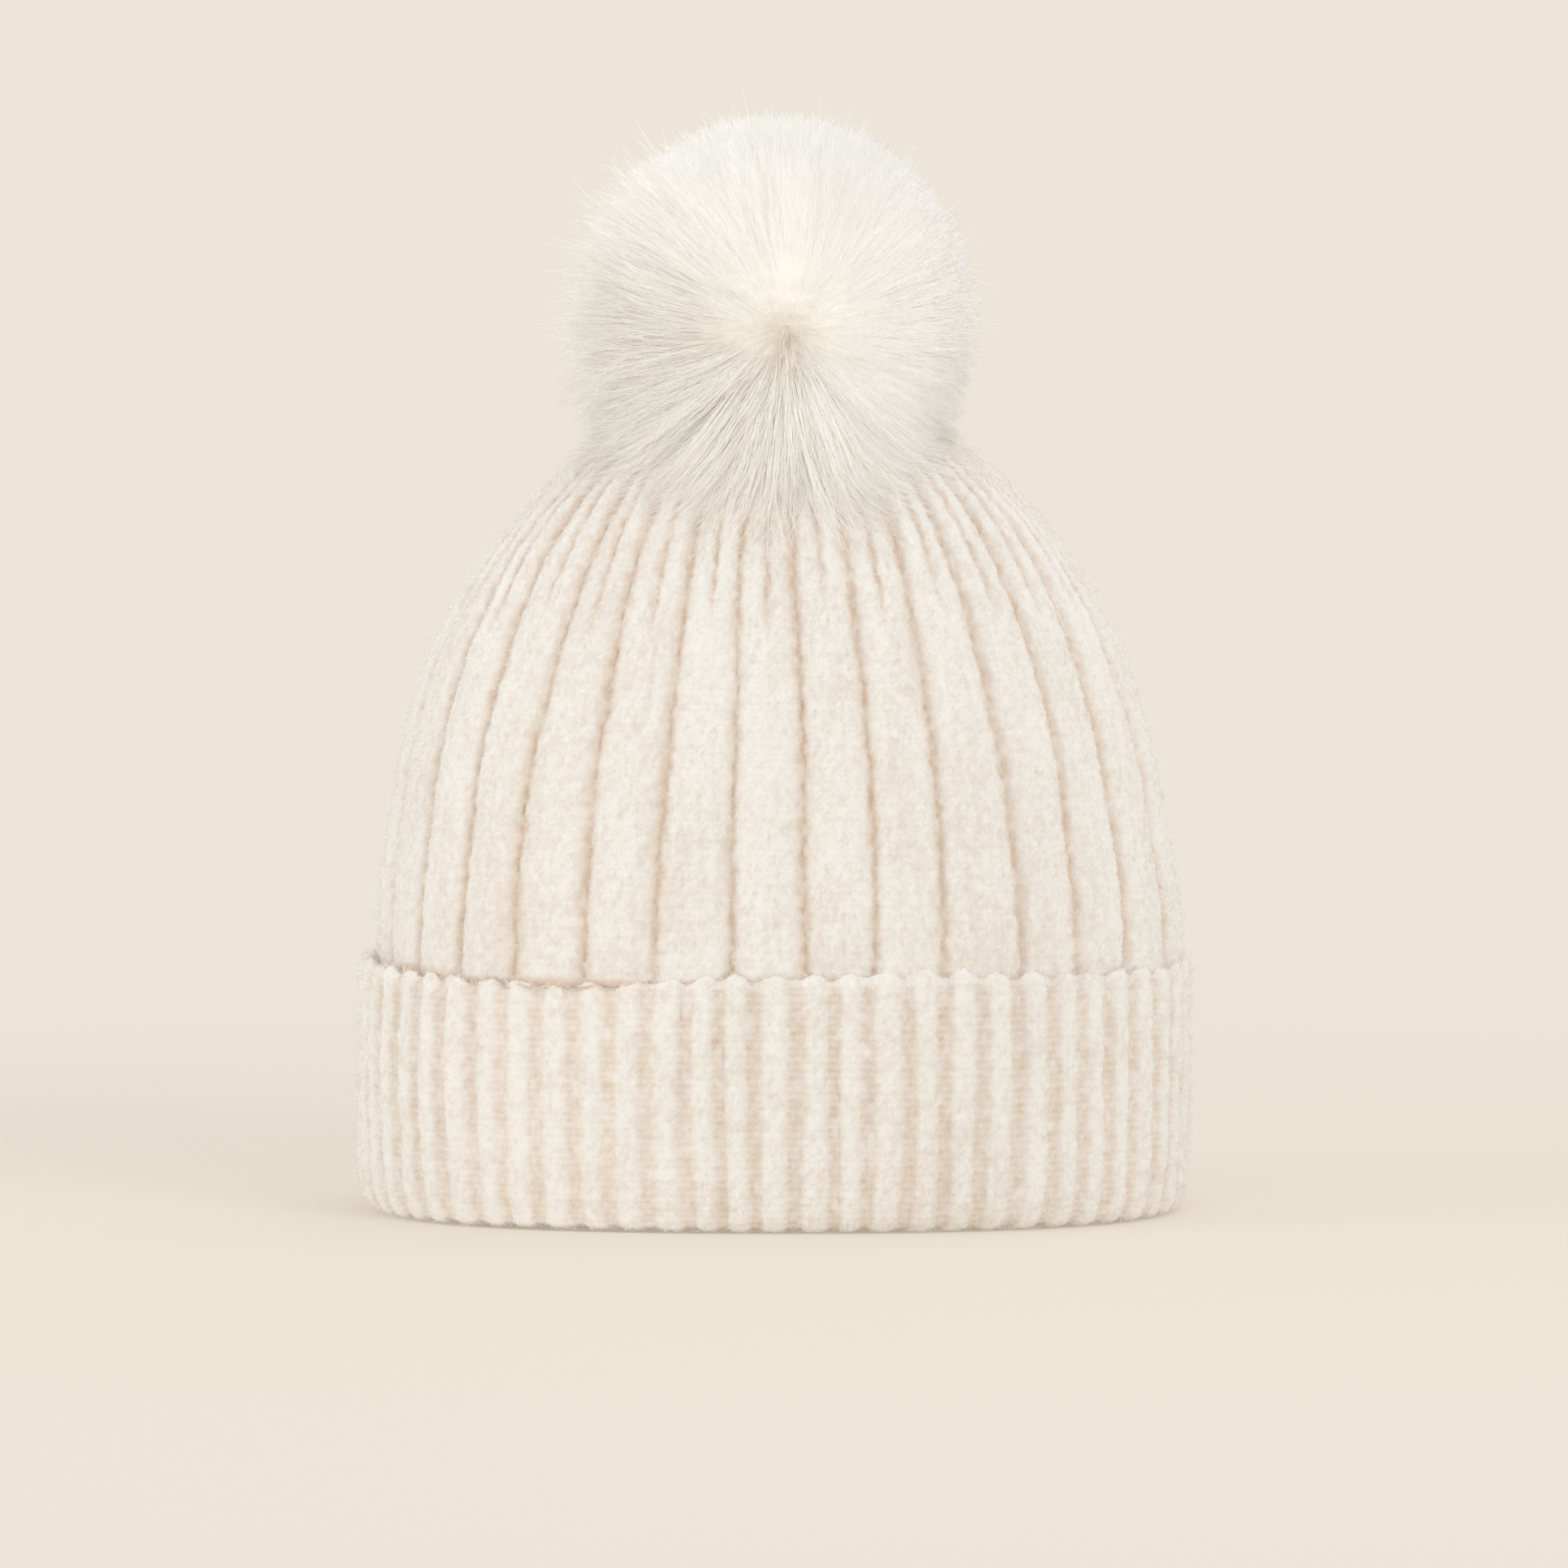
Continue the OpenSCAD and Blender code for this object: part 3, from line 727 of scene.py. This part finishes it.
def undercoat():
    """The dense fur under the long hairs, a thick shell open below round the press stud."""
    cols, rows = 240, 150
    hair_depth = 8.5
    core_gap = 0.7
    dimple_depth, dimple_reach = 3.5, 15
    outer = FUR_R - hair_depth
    inner = CORE_R + core_gap
    mouth = 14.0
    flat = FUR_LOW[2] - FUR_CENTRE[2]
    ease = 2.5
    last = math.pi - math.asin(mouth / outer)
    path = []
    for a in np.linspace(0.0, last, rows):
        height = outer * math.cos(a)
        path.append((outer * math.sin(a), flat + ease * math.log1p(math.exp((height - flat) / ease))))
    wall = math.sqrt(inner**2 - mouth**2)
    path += [(mouth, h) for h in np.linspace(flat + 1, -wall, 4)]
    start = math.acos(-wall / inner)
    path += [(inner * math.sin(a), inner * math.cos(a)) for a in np.linspace(start, 0.0, 40)[1:]]
    path = np.array(path)
    a = np.arange(cols) / cols * 2 * math.pi
    body = path[1:-1]
    level = np.broadcast_to(body[:, 1:], (len(body), cols))
    p = np.stack([body[:, :1] * np.cos(a), body[:, :1] * np.sin(a), level], -1)
    d = unit(p)
    angle = away_from_whorl(d)[1]
    dimple = dimple_depth * np.exp(-((angle / np.radians(dimple_reach)) ** 2))
    rough = soft_noise(len(body), cols, 2.0, 3.0)
    shown = (np.arange(len(body)) < rows * 0.7)[:, None]
    p = p + d * (shown * (0.8 * rough - dimple))[..., None]
    tops = np.array([[0, 0, path[0, 1]], [0, 0, path[-1, 1]]])
    points = np.concatenate([p.reshape(-1, 3), tops]) + FUR_CENTRE
    total = len(body)
    quads = ring_faces(total, cols)[: (total - 1) * cols][:, ::-1]
    c = np.arange(cols)
    nxt = (c + 1) % cols
    top = np.stack([np.full(cols, total * cols), c, nxt], 1)
    low = np.stack([np.full(cols, total * cols + 1), (total - 1) * cols + nxt, (total - 1) * cols + c], 1)
    obj = new_object("fur_undercoat", points, [(quads, 0), (top, 0), (low, 0)], slots=[UNDER])
    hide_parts("pompom_fur")
    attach(obj, "pompom")


def fur_piece():
    """The long white hairs, cream low on the left and tan at the whorl: painted shade on the side away from the
    light and deep in the parting.
    """
    count = 34000
    crowded_share = 0.55
    paths, tips = fur_paths(count, int(count * crowded_share))
    around = away_from_whorl(tips)[1]
    chance = RNG.random(len(tips))
    # Painted shade: cream hairs low on the left, away from the light.
    cream = 0.2 + 0.6 * smoothstep(-tips[:, 2] - tips[:, 0], -0.3, 1.0)
    # Painted shade: tan hairs deep in the whorl's parting.
    tan = 0.5 * np.exp(-((around / np.radians(13)) ** 2))
    tone = np.where(chance < tan, 2, np.where(chance < tan + cream, 1, 0))
    for i, own in enumerate(np.array_split(RNG.permutation(len(tips)), FUR_PARTS)):
        width = RNG.uniform(*HAIR_RADII, len(own))
        obj = strands(f"fur_{i + 1}", paths[own], width, FURS, tone[own])
        obj.visible_shadow = i < FUR_PARTS_IN_SHADOW
        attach(obj, "pompom")


# ---------------------------------------------------------------- finishes of the CAD pieces
def paint(names, material):
    """Gives carried-over CAD pieces their finish."""
    for name in names:
        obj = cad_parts[name]
        obj.data.materials.clear()
        obj.data.materials.append(material)


def varied(name, light, dark, scale, stretch=(1, 1, 1), roughness=0.9, depth=0.0002, weave=0, **inputs):
    """A finish whose colour and surface follow fine noise, crossed by a plain weave where weave is set."""
    m = principled(name, light, roughness, **inputs)
    links = m.node_tree.links
    p = m.node_tree.nodes["Principled BSDF"]
    where = node(m, "ShaderNodeTexCoord")
    long = node(m, "ShaderNodeMapping")
    long.inputs["Scale"].default_value = stretch
    links.new(where.outputs["Object"], long.inputs["Vector"])
    noise = node(m, "ShaderNodeTexNoise")
    noise.inputs["Scale"].default_value = scale
    noise.inputs["Detail"].default_value = 4
    links.new(long.outputs[0], noise.inputs["Vector"])
    height = noise.outputs["Fac"]
    for direction in ("X", "Z") if weave else ():
        thread = node(m, "ShaderNodeTexWave", bands_direction=direction)
        thread.inputs["Scale"].default_value = weave
        links.new(where.outputs["Object"], thread.inputs["Vector"])
        both = node(m, "ShaderNodeMix", data_type="FLOAT")
        both.inputs[0].default_value = 0.35
        links.new(height, both.inputs[2])
        links.new(thread.outputs["Fac"], both.inputs[3])
        height = both.outputs[0]
    mix = node(m, "ShaderNodeMix", data_type="RGBA")
    mix.inputs[MIX_A].default_value = (*dark, 1)
    mix.inputs[MIX_B].default_value = (*light, 1)
    links.new(height, mix.inputs[MIX_FACTOR])
    links.new(mix.outputs[2], p.inputs["Base Color"])
    bump = node(m, "ShaderNodeBump")
    bump.inputs["Strength"].default_value = 0.5
    bump.inputs["Distance"].default_value = depth
    links.new(height, bump.inputs["Height"])
    links.new(bump.outputs[0], p.inputs["Normal"])
    return m


def paint_cad():
    paint(
        ["cuff_linking_yarn", "crown_gather_yarn"],
        varied("yarn", (0.88, 0.82, 0.72), (0.72, 0.64, 0.53), 1800, (1, 1, 0.4), 1.0, Sheen_Weight=0.3),
    )
    paint(
        ["crown_felt_disc"],
        varied("felt", (0.76, 0.70, 0.61), (0.60, 0.54, 0.46), 1400, roughness=1.0),
    )
    paint(
        ["shank_thread", "stud_thread", "pompom_drawstring", "label_thread"],
        varied("thread", (0.89, 0.85, 0.78), (0.74, 0.69, 0.61), 3000, (1, 1, 0.25), 0.7, 0.0001),
    )
    polished = {"depth": 0.00002, "Metallic": 1.0}
    paint(
        ["snap_socket", "snap_stud"],
        varied("snap_metal", (0.66, 0.66, 0.67), (0.56, 0.56, 0.58), 2500, (1, 1, 0.1), 0.28, **polished),
    )
    paint(
        ["snap_spring"],
        varied("spring_wire", (0.54, 0.54, 0.55), (0.44, 0.44, 0.46), 3000, roughness=0.35, **polished),
    )
    paint(
        ["pompom_base_disc", "anchor_button"],
        varied("disc_plastic", (0.80, 0.77, 0.70), (0.75, 0.72, 0.65), 900, roughness=0.5, depth=0.00004),
    )
    paint(
        ["pompom_backing"],
        varied("backing_cloth", (0.80, 0.74, 0.63), (0.63, 0.57, 0.46), 1500, roughness=0.95, weave=420),
    )
    paint(
        ["pompom_stuffing"],
        varied("wadding", (0.92, 0.92, 0.90), (0.82, 0.82, 0.80), 500, roughness=1.0, depth=0.0006),
    )
    satin = {"roughness": 0.45, "depth": 0.00005, "weave": 500, "Sheen_Weight": 0.4}
    paint(
        ["care_label"],
        varied("label_satin", (0.91, 0.91, 0.89), (0.80, 0.80, 0.78), 2500, (1, 1, 0.15), **satin),
    )


# ---------------------------------------------------------------- stage, light and camera
BACKDROP = (0.847, 0.783, 0.686)
FILL_COLOUR = (1.0, 0.988, 0.975)
FILL_STRENGTH = 0.71
FLOOR_FADE = (0.25, 0.9)  # metres from the hat over which the floor turns into backdrop


def build_stage():
    """A pale floor that fades into the even backdrop away from the hat."""
    size = 6.0
    corners = 64
    just_below = -0.0004
    mesh = bpy.data.meshes.new("floor")
    turns = np.arange(corners) * 2 * math.pi / corners
    ring = [(size * math.cos(a), size * math.sin(a), 0) for a in turns]
    mesh.from_pydata(ring, [], [list(range(corners))])
    floor = bpy.data.objects.new("floor", mesh)
    floor.location.z = just_below
    bpy.context.scene.collection.objects.link(floor)
    m = bpy.data.materials.new("floor_paper")
    m.use_nodes = True
    nodes, links = m.node_tree.nodes, m.node_tree.links
    nodes.clear()
    out = nodes.new("ShaderNodeOutputMaterial")
    glow = nodes.new("ShaderNodeEmission")
    glow.inputs["Color"].default_value = (*BACKDROP, 1)
    matt = nodes.new("ShaderNodeBsdfDiffuse")
    matt.inputs["Color"].default_value = (*BACKDROP, 1)
    mix = nodes.new("ShaderNodeMixShader")
    where = nodes.new("ShaderNodeTexCoord")
    length = nodes.new("ShaderNodeVectorMath")
    length.operation = "LENGTH"
    fade = nodes.new("ShaderNodeMapRange")
    fade.inputs["From Min"].default_value = FLOOR_FADE[0]
    fade.inputs["From Max"].default_value = FLOOR_FADE[1]
    fade.inputs["To Min"].default_value = 0.35
    fade.inputs["To Max"].default_value = 1.0
    fade.interpolation_type = "SMOOTHSTEP"
    links.new(where.outputs["Object"], length.inputs[0])
    links.new(length.outputs["Value"], fade.inputs["Value"])
    links.new(fade.outputs[0], mix.inputs[0])
    links.new(matt.outputs[0], mix.inputs[1])
    links.new(glow.outputs[0], mix.inputs[2])
    links.new(mix.outputs[0], out.inputs["Surface"])
    mesh.materials.append(m)


def build_world():
    """An even backdrop for the camera and a near-white fill for the light."""
    world = bpy.data.worlds.new("studio")
    world.use_nodes = True
    nodes, links = world.node_tree.nodes, world.node_tree.links
    nodes.clear()
    out = nodes.new("ShaderNodeOutputWorld")
    seen = nodes.new("ShaderNodeBackground")
    seen.inputs["Color"].default_value = (*BACKDROP, 1)
    fill = nodes.new("ShaderNodeBackground")
    fill.inputs["Color"].default_value = (*FILL_COLOUR, 1)
    fill.inputs["Strength"].default_value = FILL_STRENGTH
    path = nodes.new("ShaderNodeLightPath")
    mix = nodes.new("ShaderNodeMixShader")
    links.new(path.outputs["Is Camera Ray"], mix.inputs[0])
    links.new(fill.outputs[0], mix.inputs[1])
    links.new(seen.outputs[0], mix.inputs[2])
    links.new(mix.outputs[0], out.inputs["Surface"])
    bpy.context.scene.world = world


def area_light(name, place, target, size, power, colour):
    """A round soft light at place, aimed at target."""
    data = bpy.data.lights.new(name, "AREA")
    data.shape = "DISK"
    data.size = size
    data.energy = power
    data.color = colour
    lamp = bpy.data.objects.new(name, data)
    lamp.location = place
    lamp.rotation_euler = (Vector(target) - Vector(place)).to_track_quat("-Z", "Y").to_euler()
    bpy.context.scene.collection.objects.link(lamp)


def build_camera():
    """A long lens in front of the hat and a little above it."""
    data = bpy.data.cameras.new("camera")
    distance = 3.0
    frame_width = 0.4146
    sensor = 36
    data.sensor_width = sensor
    data.lens = sensor * distance / frame_width
    data.clip_end = 50
    camera = bpy.data.objects.new("camera", data)
    target = Vector((0.002, 0, 0.1118))
    rise = math.radians(3)
    camera.location = target + distance * Vector((0, -math.cos(rise), math.sin(rise)))
    camera.rotation_euler = (target - camera.location).to_track_quat("-Z", "Y").to_euler()
    bpy.context.scene.collection.objects.link(camera)
    bpy.context.scene.camera = camera


crown = crown_piece()
cuff = cuff_piece()
fewer = 1
fuzz("crown_fuzz", crown, count=95000 // fewer, reach=2.0, lift=0.6, parts=5)
fuzz("band_fuzz", cuff, count=57000 // fewer, reach=2.0, lift=0.6, parts=3)
rim = [part[:11] for part in cuff]  # the rows over the band's upper edge
fuzz("rim_fuzz", rim, count=9000 // fewer, reach=2.1, lift=0.9, parts=1)
undercoat()
fur_piece()
paint_cad()
build_stage()
build_world()
area_light("key", (1.15, -1.7, 1.2), (0, 0, 0.14), size=1.1, power=12, colour=(1.0, 0.99, 0.975))
area_light("left", (-2.0, -0.7, 0.4), (0, 0, 0.08), size=1.4, power=13, colour=(1.0, 0.98, 0.955))
area_light("top", (0.3, 0.3, 1.8), (0, 0, 0.12), size=1.2, power=5, colour=(1.0, 0.985, 0.97))
build_camera()
bpy.context.scene.view_settings.view_transform = "Standard"
bpy.context.scene.cycles.diffuse_bounces = 8
